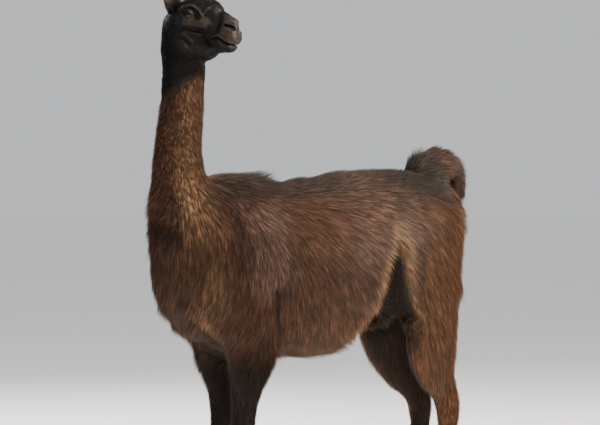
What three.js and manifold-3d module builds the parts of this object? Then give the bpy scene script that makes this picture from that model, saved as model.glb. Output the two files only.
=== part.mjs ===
// A life-size llama, standing, looking back over its left shoulder with its tail raised.
//
// Millimetres. +Z is up, the llama faces -Y, and its left side is +X. The ground is Z = 0.
//
// The body is one field of flesh: strands with elliptical sections, blended into each other. The field
// is meshed region by region, and thin cuts part the regions into head, neck, trunk, legs, feet and tail.
// The solids reach out to the tips of the coat.

import * as THREE from 'three';
import { mergeVertices } from 'three/addons/utils/BufferGeometryUtils.js';
import Module from 'manifold-3d';

const wasm = await Module();
wasm.setup();

// ---------------------------------------------------------------- driving dimensions

const GAP = 0.3; // between neighbouring pieces
const LEFT = 1;
const RIGHT = -1;
const SIDES = [['left', LEFT], ['right', RIGHT]];

const EYE_HEIGHT = 1626;
const HOCK_HEIGHT = 412;
const KNEE_HEIGHT = 345;
const FETLOCK_HEIGHT = 104;

const HEAD_TURN = 111; // degrees the head is turned to the llama's left
const HEAD_PITCH = 12; // degrees the nose points down
const HEAD_CENTRE = [78, -470, EYE_HEIGHT]; // midway between the eyes
const EYE_RADIUS = 18;
const EYE_APART = 94; // between the eyeballs' centres
const EAR_LENGTH = 178;
const EAR_HALF_WIDTH = 25;
const EAR_SIDES = 10;
const NAIL_LENGTH = 27;
const ANKLE_CUT = 78;
const NAIL_SIDES = 6;
const MIDLINE = 2; // half the space kept between the left and right legs

// How finely each region is meshed, and about how many triangles it is thinned to.
const FINE = {
  trunk: [17, 1800],
  neck: [13, 900],
  tail: [11, 400],
  foreleg: [11, 420],
  hindleg: [12, 580],
  foot: [5, 240],
  head: [6, 1980],
};
const EVENNESS = 1e-5; // how much the thinning dislikes long edges

// ---------------------------------------------------------------- vectors

const vec = (p) => new THREE.Vector3(...p);
const mix = THREE.MathUtils.lerp;
const radians = THREE.MathUtils.degToRad;
const ACROSS = vec([1, 0, 0]);

/** Turns [x, y, z] about the vertical, from the trunk's facing towards the llama's left. */
const turned = (v, degrees) => v.clone().applyAxisAngle(vec([0, 0, 1]), radians(degrees));

// The head's own axes: forward along the nose, left across the eyes, and up.
const headLeft = turned(ACROSS, HEAD_TURN);
const headForward = turned(vec([0, -1, 0]), HEAD_TURN).applyAxisAngle(headLeft, radians(HEAD_PITCH));
const headUp = headForward.clone().cross(headLeft);

/** A place in the head, given as [forward, left, up] from midway between the eyes. */
function inHead([forward, left, up]) {
  return vec(HEAD_CENTRE)
    .addScaledVector(headForward, forward)
    .addScaledVector(headLeft, left)
    .addScaledVector(headUp, up);
}

// ---------------------------------------------------------------- the field of flesh

/**
 * A strand of flesh from one place to another. Its section is an ellipse, half = [across, deep], where
 * `side` is the direction that `across` is measured in. Its ends are round. `blend` is how far it
 * melts into what it meets.
 */
function strand(from, to, startHalf, endHalf = startHalf, { side = ACROSS, blend = 40 } = {}) {
  const a = from.isVector3 ? from : vec(from);
  const b = to.isVector3 ? to : vec(to);
  const along = b.clone().sub(a);
  const length = along.length();
  if (length > 0) along.divideScalar(length);
  else along.set(0, 0, 1);
  const across = side.clone().addScaledVector(along, -side.dot(along)).normalize();
  const deep = along.clone().cross(across);
  const p = new THREE.Vector3();

  const distance = (x, y, z) => {
    p.set(x - a.x, y - a.y, z - a.z);
    const run = p.dot(along);
    const t = length > 0 ? THREE.MathUtils.clamp(run / length, 0, 1) : 0;
    const w = mix(startHalf[0], endHalf[0], t);
    const d = mix(startHalf[1], endHalf[1], t);
    const past = (run - t * length) / Math.min(w, d);
    const u = p.dot(across) / w;
    const v = p.dot(deep) / d;
    const reach = Math.hypot(u, v, past);
    const slope = Math.hypot(u / w, v / d, past / Math.min(w, d));
    return slope > 1e-9 ? (reach * (reach - 1)) / slope : -Math.min(w, d);
  };
  return { distance, blend };
}

/** One limb through stations of { at, half, side }, in `steps` straight strands between each two. */
function limb(stations, steps, blend) {
  const path = new THREE.CatmullRomCurve3(stations.map((s) => vec(s.at)), false, 'centripetal');
  const halves = new THREE.CatmullRomCurve3(stations.map((s) => vec([...s.half, 0])), false, 'centripetal');
  const last = stations.length - 1;
  const count = last * steps;
  const station = (i) => {
    const before = Math.min(Math.floor(i / steps), last - 1);
    const side = (stations[before].side ?? ACROSS).clone()
      .lerp(stations[before + 1].side ?? ACROSS, i / steps - before).normalize();
    const half = halves.getPoint(i / count);
    return { at: path.getPoint(i / count), half: [half.x, half.y], side };
  };
  const strands = [];
  for (let i = 0; i < count; i++) {
    const [a, b] = [station(i), station(i + 1)];
    strands.push(strand(a.at, b.at, a.half, b.half, { side: a.side }));
  }
  return { distance: (x, y, z) => Math.min(...strands.map((s) => s.distance(x, y, z))), blend };
}

/** The distance to flesh that melts together, negative inside. */
function melted(strands) {
  return (x, y, z) => {
    let near = Infinity;
    for (const { distance, blend } of strands) {
      const d = distance(x, y, z);
      const overlap = Math.max(blend - Math.abs(near - d), 0) / blend;
      near = Math.min(near, d) - (Number.isFinite(near) ? (overlap * overlap * blend) / 4 : 0);
    }
    return near;
  };
}

// ---------------------------------------------------------------- the strands

/** A station of the trunk: how high its back and belly are there, and its half width. */
const girth = (y, back, belly, width) => ({
  at: [0, y, (back + belly) / 2],
  half: [width, (back - belly) / 2],
});

const trunkLimb = limb([
  girth(-450, 1108, 682, 114),
  girth(-386, 1146, 640, 154),
  girth(-280, 1150, 602, 188),
  girth(-140, 1127, 582, 206),
  girth(0, 1143, 578, 216),
  girth(127, 1168, 611, 214),
  girth(230, 1180, 690, 190),
  girth(330, 1178, 790, 165),
  girth(430, 1138, 880, 138),
], 3, 50);

const neckLimb = limb([
  { at: [0, -460, 985], half: [118, 118] },
  { at: [0, -486, 1100], half: [86, 98] },
  { at: [0, -492, 1215], half: [67, 84] },
  { at: [0, -480, 1330], half: [65, 77] },
  { at: [2, -472, 1430], half: [69, 73], side: turned(ACROSS, HEAD_TURN * 0.6) },
  { at: [8, -479, 1520], half: [60, 76], side: headLeft },
  { at: [12, -480, 1600], half: [52, 68], side: headLeft },
], 3, 20);

/** One strand of the head, in the head's own directions. */
const headStrand = (from, to, startHalf, endHalf, blend = 16) =>
  strand(inHead(from), inHead(to), startHalf, endHalf, { side: headLeft, blend });

const headStrands = [
  headStrand([-46, 0, 4], [-10, 0, 12], [42, 46], [50, 46], 24), // braincase
  headStrand([-10, 0, 14], [45, 0, 15], [50, 42], [36, 36], 24), // forehead
  headStrand([45, 0, 12], [128, 0, -14], [33, 38], [23, 30], 24), // bridge of the nose
  headStrand([126, 0, -22], [137, 0, -27], [24, 25], [21, 23], 14), // tip of the nose
  headStrand([80, 0, -38], [138, 0, -46], [36, 33], [29, 27], 20), // upper lip
  headStrand([60, 0, -84], [142, 0, -76], [27, 27], [18, 15], 12), // chin
  headStrand([-56, 0, -45], [44, 0, -106], [42, 56], [31, 40], 30), // throat
];
for (const [, side] of SIDES) {
  headStrands.push(
    headStrand([-22, 44 * side, 20], [30, 33 * side, 26], [15, 15], [13, 14], 14), // brow
    headStrand([-20, 46 * side, -16], [52, 34 * side, -24], [14, 15], [11, 14], 16), // cheekbone
    headStrand([-30, 34 * side, -60], [68, 18 * side, -94], [20, 42], [16, 25], 20), // jaw
    headStrand([150, 11 * side, -48], [147, 12 * side, -58], [13, 18], [13, 14], 8), // lip lobe
  );
}

/** The strands of one foreleg. `stride` moves it back, and less so above the elbow. */
function forelegStrands(side, stride) {
  const at = (x, y, z) => [x * side, y + stride * (1 - THREE.MathUtils.smoothstep(z, 450, 750)), z];
  return [
    strand(at(88, -345, 950), at(100, -298, 720), [62, 130], [68, 112], { blend: 60 }), // shoulder
    limb([
      { at: at(102, -288, 690), half: [62, 110] },
      { at: at(101, -290, 590), half: [55, 95] },
      { at: at(95, -298, 520), half: [46, 66] },
      { at: at(86, -305, 455), half: [38, 49] },
      { at: at(82, -308, 390), half: [35, 43] },
      { at: at(82, -309, KNEE_HEIGHT), half: [35, 41] },
      { at: at(81, -304, 280), half: [26, 31] },
      { at: at(80, -303, 180), half: [23, 26] },
      { at: at(80, -302, FETLOCK_HEIGHT), half: [28, 30] },
    ], 2, 40),
  ];
}

/** The strands of one hind leg. `bend` moves its stifle forward. */
function hindlegStrands(side, bend) {
  const at = (x, y, z) => [x * side, y, z];
  return [
    strand(at(74, 386, 985), at(98, 388 - bend, 800), [90, 152], [82, 120], { blend: 40 }), // haunch
    limb([
      { at: at(98, 388 - bend, 790), half: [80, 118] },
      { at: at(104, 385 - bend, 690), half: [74, 109] },
      { at: at(100, 398 - bend * 0.7, 600), half: [66, 96] },
      { at: at(90, 420 - bend * 0.2, 520), half: [52, 74] },
      { at: at(80, 461, 458), half: [39, 52] },
      { at: at(76, 478, HOCK_HEIGHT), half: [36, 49] },
      { at: at(75, 481, 360), half: [32, 44] },
      { at: at(74, 475, 290), half: [26, 33] },
      { at: at(73, 468, 190), half: [23, 27] },
      { at: at(73, 462, FETLOCK_HEIGHT), half: [28, 31] },
    ], 2, 24),
  ];
}

// Where each foot stands: the middle of its fetlock joint.
const FEET = [
  { name: 'front_left', side: LEFT, x: 80, y: -302 },
  { name: 'front_right', side: RIGHT, x: -80, y: -276 },
  { name: 'hind_left', side: LEFT, x: 73, y: 462 },
  { name: 'hind_right', side: RIGHT, x: -73, y: 462 },
];
const FORE_STRIDE = FEET[1].y - FEET[0].y;
const STIFLE_BEND = 32; // how far the right stifle is ahead of the left one
const TOES = [['inner', -1], ['outer', 1]];
const TOE_SPREAD = 17; // from the foot's middle to the middle of a toe

/** The pastern, and the two toes on their soft pads. */
function footStrands({ x, y }) {
  const strands = [strand([x, y, FETLOCK_HEIGHT], [x, y - 26, 52], [28, 30], [27, 26], { blend: 20 })];
  for (const [, way] of TOES) {
    strands.push(
      strand([x + way * 15, y - 18, 24], [x + way * TOE_SPREAD, y - 60, 15], [17, 32], [15, 24],
        { blend: 8 }));
  }
  return strands;
}

const tailLimb = limb([
  { at: [0, 424, 1118], half: [62, 52] },
  { at: [0, 452, 1168], half: [60, 62] },
  { at: [0, 498, 1186], half: [55, 50] },
  { at: [0, 544, 1166], half: [46, 38] },
  { at: [0, 568, 1112], half: [36, 28] },
  { at: [0, 570, 1070], half: [21, 17] },
], 3, 14);

const bodyField = melted([
  trunkLimb,
  neckLimb,
  ...headStrands,
  ...forelegStrands(LEFT, 0),
  ...forelegStrands(RIGHT, FORE_STRIDE),
  ...hindlegStrands(LEFT, 0),
  ...hindlegStrands(RIGHT, STIFLE_BEND),
  ...FEET.flatMap(footStrands),
  tailLimb,
]);

// ---------------------------------------------------------------- from field to solid

// A cell's corners, its edges (the four along X, then Y, then Z) as pairs of corners, and its faces as
// lists of edges.
const CORNERS = [0, 1, 2, 3, 4, 5, 6, 7].map((c) => [c & 1, (c >> 1) & 1, (c >> 2) & 1]);
const EDGES = [0, 1, 2].flatMap((axis) => [0, 1, 2, 3].map((n) => {
  const start = ((n & 1) << ((axis + 1) % 3)) | ((n >> 1) << ((axis + 2) % 3));
  return [start, start | (1 << axis)];
}));
const FACES = [0, 1, 2].flatMap((axis) => [0, 1].map((side) =>
  EDGES.map((_, e) => e).filter((e) => EDGES[e].every((c) => CORNERS[c][axis] === side))));

/** The sheets of surface that cross a cell, each a list of the edges that it crosses. */
function sheets(values) {
  const inside = values.map((v) => v < 0);
  const crossed = (e) => inside[EDGES[e][0]] !== inside[EDGES[e][1]];
  const inner = (e) => EDGES[e].find((c) => inside[c]);
  const sheetOf = EDGES.map((_, e) => e);
  for (const face of FACES) {
    const cut = face.filter(crossed);
    for (const a of cut)
      for (const b of cut) {
        if (cut.length === 4 && inner(a) !== inner(b)) continue;
        const [keep, drop] = [sheetOf[a], sheetOf[b]];
        for (let e = 0; e < sheetOf.length; e++) if (sheetOf[e] === drop) sheetOf[e] = keep;
      }
  }
  const found = new Map();
  for (let e = 0; e < EDGES.length; e++)
    if (crossed(e)) found.set(sheetOf[e], [...(found.get(sheetOf[e]) ?? []), e]);
  return [...found.values()];
}

/**
 * Meshes the inside of a field in a box, on a grid of cells of the given size. Each sheet of surface in
 * a cell has one vertex, at the middle of its crossings, and each crossed edge of the grid has one quad.
 */
function meshed(field, low, high, cell) {
  const count = low.map((v, k) => Math.ceil((high[k] - v) / cell[k]) + 1);
  const place = (i, k) => low[k] + i * cell[k];
  const index = (i, j, k) => i + count[0] * (j + count[1] * k);
  const values = new Float32Array(count[0] * count[1] * count[2]);
  for (let k = 0; k < count[2]; k++)
    for (let j = 0; j < count[1]; j++)
      for (let i = 0; i < count[0]; i++) {
        const rim = [i, j, k].some((v, n) => v === 0 || v === count[n] - 1);
        const value = field(place(i, 0), place(j, 1), place(k, 2));
        values[index(i, j, k)] = rim ? Math.max(value, 1) : value; // closed at the box
      }

  const positions = [];
  const vertexOn = new Map(); // by cell and edge
  for (let k = 0; k < count[2] - 1; k++)
    for (let j = 0; j < count[1] - 1; j++)
      for (let i = 0; i < count[0] - 1; i++) {
        const at = CORNERS.map(([a, b, c]) => values[index(i + a, j + b, k + c)]);
        if (at.every((v) => v < 0) || at.every((v) => v >= 0)) continue;
        for (const sheet of sheets(at)) {
          const sum = [0, 0, 0];
          for (const e of sheet) {
            vertexOn.set(index(i, j, k) * EDGES.length + e, positions.length / 3);
            const [p, q] = EDGES[e];
            const t = at[p] / (at[p] - at[q]);
            for (let n = 0; n < 3; n++) sum[n] += mix(CORNERS[p][n], CORNERS[q][n], t);
          }
          [i, j, k].forEach((v, n) => positions.push(place(v + sum[n] / sheet.length, n)));
        }
      }

  const triangles = [];
  const step = [index(1, 0, 0), index(0, 1, 0), index(0, 0, 1)];
  for (let k = 0; k < count[2] - 1; k++)
    for (let j = 0; j < count[1] - 1; j++)
      for (let i = 0; i < count[0] - 1; i++)
        for (let axis = 0; axis < 3; axis++) {
          const here = index(i, j, k);
          const inside = values[here] < 0;
          if (inside === values[here + step[axis]] < 0) continue;
          const ring = [[1, 1], [0, 1], [0, 0], [1, 0]].map(([u, v]) => {
            const cellIndex = here - u * step[(axis + 1) % 3] - v * step[(axis + 2) % 3];
            return vertexOn.get(cellIndex * EDGES.length + axis * 4 + v * 2 + u);
          });
          if (!inside) ring.reverse();
          triangles.push(ring[0], ring[1], ring[2], ring[0], ring[2], ring[3]);
        }
  return { positions, triangles };
}

/**
 * Thins a closed mesh to about `target` triangles. Each round joins the ends of the edges whose loss
 * moves the surface least, as the planes of the faces round them tell, and leaves their neighbours be.
 */
function thinned({ positions, triangles }, target) {
  const points = [];
  for (let i = 0; i < positions.length; i += 3) points.push(vec(positions.slice(i, i + 3)));
  let faces = [];
  for (let i = 0; i < triangles.length; i += 3) faces.push(triangles.slice(i, i + 3));
  const normal = (a, b, c) => b.clone().sub(a).cross(c.clone().sub(a));

  while (faces.length > target) {
    // For each point, the faces round it and the sum of area * normal * normal, as its six numbers,
    // with the same sum applied to the faces' own places.
    const round = points.map(() => []);
    const sums = points.map(() => [0, 0, 0, 0, 0, 0, 0, 0, 0, 0]);
    faces.forEach((face, f) => {
      const n = normal(...face.map((i) => points[i]));
      const area = n.length();
      if (area > 0) n.divideScalar(area);
      const d = n.dot(points[face[0]]);
      const terms = [n.x * n.x, n.x * n.y, n.x * n.z, n.y * n.y, n.y * n.z, n.z * n.z,
        n.x * d, n.y * d, n.z * d, d * d];
      for (const i of face) {
        round[i].push(f);
        terms.forEach((term, k) => { sums[i][k] += area * term; });
      }
    });
    const neighbours = (i) => new Set(round[i].flatMap((f) => faces[f]).filter((j) => j !== i));

    const edges = [];
    for (const face of faces)
      for (let k = 0; k < 3; k++) {
        const [a, b] = [face[k], face[(k + 1) % 3]];
        if (a > b) continue;
        const q = sums[a].map((v, n) => v + sums[b][n]);
        const middle = points[a].clone().add(points[b]).divideScalar(2);
        const matrix = new THREE.Matrix3().set(q[0], q[1], q[2], q[1], q[3], q[4], q[2], q[4], q[5]);
        const best = vec([q[6], q[7], q[8]]).applyMatrix3(matrix.clone().invert());
        const reach = points[a].distanceTo(points[b]);
        const sound = Number.isFinite(best.x) && best.distanceTo(middle) < reach;
        const at = sound && matrix.determinant() ? best : middle;
        const cost = at.dot(at.clone().applyMatrix3(matrix)) - 2 * at.dot(vec([q[6], q[7], q[8]])) + q[9];
        edges.push({ a, b, at, cost: cost + reach ** 4 * EVENNESS });
      }
    edges.sort((one, two) => one.cost - two.cost);

    const busy = new Set();
    const gone = new Set();
    const most = Math.ceil(edges.length / 12);
    let joined = 0;
    for (const { a, b, at } of edges) {
      if (joined >= most || faces.length - gone.size <= target) break;
      if (busy.has(a) || busy.has(b)) continue;
      const [nearA, nearB] = [neighbours(a), neighbours(b)];
      if ([...nearA].filter((i) => nearB.has(i)).length !== 2) continue;
      const kept = [...round[a], ...round[b]].filter((f) => !(faces[f].includes(a) && faces[f].includes(b)));
      const flips = kept.some((f) => {
        const before = normal(...faces[f].map((i) => points[i]));
        const after = normal(...faces[f].map((i) => (i === a || i === b ? at : points[i])));
        return before.dot(after) < 0.3 * before.length() * after.length();
      });
      if (flips) continue;
      for (const f of round[b]) {
        if (faces[f].includes(a)) gone.add(f);
        else faces[f] = faces[f].map((i) => (i === b ? a : i));
      }
      points[a] = at;
      joined++;
      for (const i of [a, b, ...nearA, ...nearB]) busy.add(i);
    }
    if (!joined) break;
    faces = faces.filter((_, f) => !gone.has(f));
  }
  return { positions: points.flatMap((p) => p.toArray()), triangles: faces.flat() };
}

/** A closed mesh as a solid. Points that no face uses are dropped. */
function asSolid({ positions, triangles }) {
  const order = new Map();
  const used = [];
  const triVerts = triangles.map((i) => {
    if (!order.has(i)) {
      order.set(i, order.size);
      used.push(...positions.slice(3 * i, 3 * i + 3));
    }
    return order.get(i);
  });
  return new wasm.Manifold(new wasm.Mesh({
    numProp: 3,
    vertProperties: new Float32Array(used),
    triVerts: new Uint32Array(triVerts),
  }));
}

/** A three.js geometry as a solid, moved and turned. */
function solid(geometry, position = [0, 0, 0], turn = new THREE.Quaternion()) {
  const bare = geometry.clone();
  bare.deleteAttribute('normal');
  bare.deleteAttribute('uv');
  const merged = mergeVertices(bare, 1e-3);
  merged.applyMatrix4(new THREE.Matrix4().compose(vec(position), turn, vec([1, 1, 1])));
  return asSolid({ positions: [...merged.attributes.position.array], triangles: [...merged.index.array] });
}

const SPACE = 4000; // wider than the llama

/** What lies past every one of the planes, each given as [place, normal], by `inset` at least. */
function past(planes, inset) {
  const halves = planes.map(([place, normal]) => {
    const along = vec(normal).normalize();
    const middle = vec(place).addScaledVector(along, SPACE / 2 + inset);
    const turn = new THREE.Quaternion().setFromUnitVectors(vec([0, 0, 1]), along);
    return solid(new THREE.BoxGeometry(SPACE, SPACE, SPACE), middle.toArray(), turn);
  });
  return halves.reduce((a, b) => a.intersect(b));
}

/** A closed skin over rings of places. Each ring starts and ends its outline on the same two sides. */
function lofted(rings) {
  const around = rings[0].length;
  const triangles = [];
  for (let r = 0; r + 1 < rings.length; r++)
    for (let i = 0; i < around; i++) {
      const [a, b] = [r * around + i, r * around + ((i + 1) % around)];
      triangles.push(a, b, b + around, a, b + around, a + around);
    }
  const end = (rings.length - 1) * around;
  for (let i = 0; i + 1 < around / 2; i++) {
    const [a, b, c, d] = [i, i + 1, around - 1 - i, around - 2 - i];
    triangles.push(a, c, d, a, d, b, end + a, end + d, end + c, end + a, end + b, end + d);
  }
  return asSolid({ positions: rings.flat().flatMap((p) => p.toArray()), triangles });
}

/** The largest of the separate bodies in a solid. */
const largest = (body) => body.decompose().reduce((a, b) => (b.volume() > a.volume() ? b : a));

/** An eyeball, `grown` by the gap round it. */
function eye(side, grown) {
  const place = inHead([2, (EYE_APART / 2) * side, -2]);
  return solid(new THREE.SphereGeometry(EYE_RADIUS + grown, 14, 8), place.toArray());
}

/** An ear: a crescent of gristle and hair that opens outwards, curving in at its tip. */
function ear(side, grown) {
  const root = [-52, 46 * side, -12];
  const rings = [];
  const STEPS = 8;
  for (let i = 0; i <= STEPS; i++) {
    const t = i / STEPS;
    const width = EAR_HALF_WIDTH * Math.sin(Math.PI * (0.16 + 0.82 * t) ** 0.9) + 2 + grown;
    const deep = mix(17, 4, t);
    const outer = deep + grown;
    const hollow = deep - mix(14, 7, Math.sin(Math.PI * Math.min(t * 1.6, 1))) - grown;
    const lean = mix(-6, 16, t * t);
    const bow = 20 * Math.sin(Math.PI * t * 0.9);
    const middle = [root[0] - bow * 0.5 - 8 * t, root[1] + side * (bow - lean), root[2] + EAR_LENGTH * t];
    const ring = [];
    for (let k = 0; k < EAR_SIDES; k++) {
      const angle = (2 * Math.PI * (k + 0.5)) / EAR_SIDES;
      const reach = Math.sin(angle) > 0 ? outer : -hollow;
      const [u, v] = [Math.cos(angle) * width, Math.sin(angle) * reach];
      const [f, l] = [u * 0.75 - v * 0.66, (u * 0.66 + v * 0.75) * -side];
      ring.push(inHead([middle[0] + f, middle[1] + l, middle[2]]));
    }
    if (side > 0) ring.reverse();
    rings.push(ring);
  }
  return lofted(rings);
}

/** The horn of one toe: a short nail, hooked down. */
function nail({ x, y }, way, grown) {
  const rings = [];
  const STEPS = 3;
  for (let i = 0; i <= STEPS; i++) {
    const t = i / STEPS;
    const reach = y - 62 - (NAIL_LENGTH + grown * 2) * Math.sin(t * 1.35) + grown;
    const middle = vec([x + way * (TOE_SPREAD + 3 * t), reach, 25 - 15 * t * t]);
    const [w, h] = [mix(10, 3.5, t) + grown, mix(11, 4, t) + grown];
    const lean = 0.9 * t;
    const ring = [];
    for (let k = 0; k < NAIL_SIDES; k++) {
      const angle = (2 * Math.PI * (k + 0.5)) / NAIL_SIDES;
      const [u, v] = [Math.cos(angle) * w, Math.sin(angle) * h];
      ring.push(middle.clone().add(vec([u, -v * Math.sin(lean), v * Math.cos(lean)])));
    }
    rings.push(ring);
  }
  return lofted(rings);
}

// ---------------------------------------------------------------- cuts between the pieces

const flipped = ([place, normal]) => [place, normal.map((v) => -v)];
const [NECK_CUT, HEAD_CUT, TAIL_CUT] = [
  [[0, -470, 1120], [0, -0.35, 1]],
  [[6, -480, 1500], headUp.clone().lerp(headForward, 0.12).toArray()],
  [[0, 430, 1150], [0, 0.5, 1]],
];
const CUTS = {
  neck: [NECK_CUT, flipped(HEAD_CUT)],
  head: [HEAD_CUT],
  tail: [TAIL_CUT, [[0, 330, 0], [0, 1, 0]]],
  foot: [[[0, 0, ANKLE_CUT], [0, 0, -1]], [[0, 0, -GAP / 2], [0, 0, 1]]], // the soles are at Z = 0
};
for (const [name, side] of SIDES) {
  const stride = side === RIGHT ? FORE_STRIDE : 0;
  const bend = side === RIGHT ? STIFLE_BEND : 0;
  const own = [[MIDLINE * side, 0, 0], [side, 0, 0]];
  CUTS[`foreleg_${name}`] = [
    own, [[60 * side, -290, 618], [0.45 * side, 0, -1]],
    [[0, -400 + stride, 600], [0, 1, -0.3]], [[0, -190 + stride, 600], [0, -1, -0.3]],
  ];
  CUTS[`hindleg_${name}`] = [
    own, [[60 * side, 380, 800], [0.6 * side, 0.1, -1]], [[0, 262 - bend, 700], [0, 1, 0]],
  ];
}

/** The body's flesh in a box, as finely as its region asks. */
function flesh(region, low, high) {
  const [cell, target] = FINE[region];
  return asSolid(thinned(meshed(bodyField, low, high, [cell, cell, cell]), target));
}

/** A solid cut off where the named piece ends. */
const cut = (body, name) => largest(body.intersect(past(CUTS[name], GAP / 2)));

// ---------------------------------------------------------------- the pieces

const llama = new THREE.Group();

const finish = (color, roughness) => new THREE.MeshStandardMaterial({ color, roughness, metalness: 0 });
const fleece = finish('#4a332b', 0.95);
const blackHair = finish('#1d1a1c', 0.9);
const eyeball = finish('#140d12', 0.1);
const horn = finish('#2b2622', 0.5);

/** Adds a solid to the llama as a named mesh. */
function add(name, body, material) {
  const mesh = body.getMesh();
  const geometry = new THREE.BufferGeometry();
  geometry.setAttribute('position', new THREE.BufferAttribute(new Float32Array(mesh.vertProperties), 3));
  geometry.setIndex(new THREE.BufferAttribute(new Uint32Array(mesh.triVerts), 1));
  geometry.computeVertexNormals();
  const named = new THREE.Mesh(geometry, material);
  named.name = name;
  llama.add(named);
}

// Trunk: the body less every piece that is cut from it.
const torso = Object.values(CUTS).reduce(
  (body, planes) => body.subtract(past(planes, -GAP / 2)),
  flesh('trunk', [-250, -640, 540], [250, 640, 1260]));
add('trunk', largest(torso), fleece);
add('neck', cut(flesh('neck', [-150, -640, 1020], [150, -300, 1560]), 'neck'), fleece);
add('tail', cut(flesh('tail', [-90, 370, 1060], [90, 640, 1270]), 'tail'), fleece);

// Legs and feet, with a nail on each toe.
const ankle = flipped(CUTS.foot[0]);
for (const { name, side, x, y } of FEET) {
  const [pair, which] = name.split('_');
  const region = pair === 'front' ? 'foreleg' : 'hindleg';
  const top = pair === 'front' ? 700 : 900;
  const [inner, outer] = [0, side * 230].sort((a, b) => a - b);
  const leg = flesh(region, [inner, y - 230, ANKLE_CUT - 30], [outer, y + 170, top]);
  add(`${region}_${which}`, cut(leg.intersect(past([ankle], GAP / 2)), `${region}_${which}`), fleece);

  let foot = cut(flesh('foot', [x - 60, y - 110, -20], [x + 60, y + 50, ANKLE_CUT + 20]), 'foot');
  for (const [toe, way] of TOES) {
    foot = foot.subtract(nail({ x, y }, way * side, GAP));
    add(`nail_${name}_${toe}`, nail({ x, y }, way * side, 0), horn);
  }
  add(`foot_${name}`, largest(foot), fleece);
}

// Head, with eyes that bulge from it and ears on its crown.
let head = flesh('head', [-120, -600, 1470], [280, -340, 1760]);
for (const [name, side] of SIDES) {
  head = head.subtract(eye(side, GAP)).subtract(ear(side, GAP));
  add(`eye_${name}`, eye(side, 0), eyeball);
  add(`ear_${name}`, ear(side, 0), blackHair);
}
add('head', cut(head, 'head'), blackHair);

// The llama stands with its box's middle over the origin.
const box = new THREE.Box3().setFromObject(llama);
llama.position.set(-(box.min.x + box.max.x) / 2, -(box.min.y + box.max.y) / 2, 0);

export default llama;
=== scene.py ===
"""A life-size llama: one skin drawn in from the CAD flesh, a coat of solid tufts, eyes, lashes and nails.

Metres, in the frame's own axes: +Z is up, the llama faces -Y, and its left side is +X.
"""

import math
from functools import partial

import bmesh
import bpy
import numpy as np
import openvdb as vdb
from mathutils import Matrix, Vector


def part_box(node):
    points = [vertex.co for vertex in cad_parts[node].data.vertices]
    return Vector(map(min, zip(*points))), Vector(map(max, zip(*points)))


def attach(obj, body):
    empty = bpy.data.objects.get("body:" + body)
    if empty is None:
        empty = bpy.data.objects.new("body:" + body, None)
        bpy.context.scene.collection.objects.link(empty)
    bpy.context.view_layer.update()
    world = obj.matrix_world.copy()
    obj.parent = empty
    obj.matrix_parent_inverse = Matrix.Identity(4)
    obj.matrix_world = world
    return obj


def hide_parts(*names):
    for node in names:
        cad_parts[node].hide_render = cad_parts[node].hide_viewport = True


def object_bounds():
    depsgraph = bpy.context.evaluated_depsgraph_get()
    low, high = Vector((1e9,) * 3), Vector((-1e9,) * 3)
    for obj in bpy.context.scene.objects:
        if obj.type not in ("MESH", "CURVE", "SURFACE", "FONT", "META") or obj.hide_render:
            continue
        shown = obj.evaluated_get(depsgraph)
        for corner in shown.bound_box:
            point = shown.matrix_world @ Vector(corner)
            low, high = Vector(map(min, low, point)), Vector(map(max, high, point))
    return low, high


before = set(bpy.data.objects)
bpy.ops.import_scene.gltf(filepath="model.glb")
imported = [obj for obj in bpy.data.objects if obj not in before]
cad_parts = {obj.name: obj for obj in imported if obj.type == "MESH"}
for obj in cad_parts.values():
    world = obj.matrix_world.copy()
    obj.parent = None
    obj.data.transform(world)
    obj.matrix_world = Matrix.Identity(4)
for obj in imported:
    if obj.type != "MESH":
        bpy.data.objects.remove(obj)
CAD_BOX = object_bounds()
FLESH = [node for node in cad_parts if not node.startswith(("eye", "nail"))]

# ---- sizes and colours

MM = 0.001
HEAD_PITCH = math.radians(12)  # the nose points down
EYE_RADIUS = 18 * MM
EYES_AHEAD = Vector((2, 0, -2)) * MM  # of the head's centre, in the head's own axes
EYE_ASIDE = 47  # of the head's middle, in millimetres

TRUNK_CELL = 8 * MM  # how finely the skin is meshed
LEG_CELL = 4.5 * MM
HEAD_CELL = 1.7 * MM
HEAD_KEEP = 0.36  # the share of the head's triangles that are kept where the surface is plain
LEG_TOP = 0.62  # below this the coat begins to turn into the legs' shorter hair
LEG_CUT = 0.36  # below this the finer mesh of the legs takes over
NECK_CUT = 1.44  # above this the finer mesh of the head takes over
LAP = 10 * MM  # how far the coarse and fine meshes pass into each other
INSET = 1.2 * MM  # how much thinner the fine mesh is there, so that it plugs in
TRUNK_REACH = 60 * MM  # how far from the skin distances are known
LEG_REACH = 16 * MM
HEAD_REACH = 20 * MM
HEAD_MARGIN = 8 * MM

# Each part's coat, in millimetres: how deep it lies over the skin, how long and wide a tuft is, its
# rise for each length at the root, how much of that rise it keeps at the tip, its crimp for each length,
# and how many tufts cover each place.
MEASURES = ("depth", "long", "wide", "rise", "keep", "crimp", "cover")
COAT = {
    "trunk": (16, 50, 2.2, 0.50, 0.60, 0.020, 6.4),
    "groin": (7, 20, 2.2, 0.40, 0.50, 0.0, 2.6),
    "neck": (12.5, 16, 1.6, 0.95, 0.65, 0.200, 4.2),
    "face": (1.0, 5.0, 0.45, 0.10, 0.50, 0.0, 0.58),
    "nape": (3.5, 14, 1.7, 0.36, 0.50, 0.0, 1.5),
    "ear": (0.8, 7, 1.0, 0.22, 0.50, 0.0, 0.9),
    "tail": (13, 46, 1.9, 0.70, 0.60, 0.040, 6.0),
    "leg": (8, 24, 1.7, 0.50, 0.60, 0.030, 3.2),
    "foot": (2.4, 9, 1.2, 0.38, 0.50, 0.0, 1.8),
}
TUFT_FILL = 0.6  # the share of its length by width that a tapered tuft covers

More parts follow.
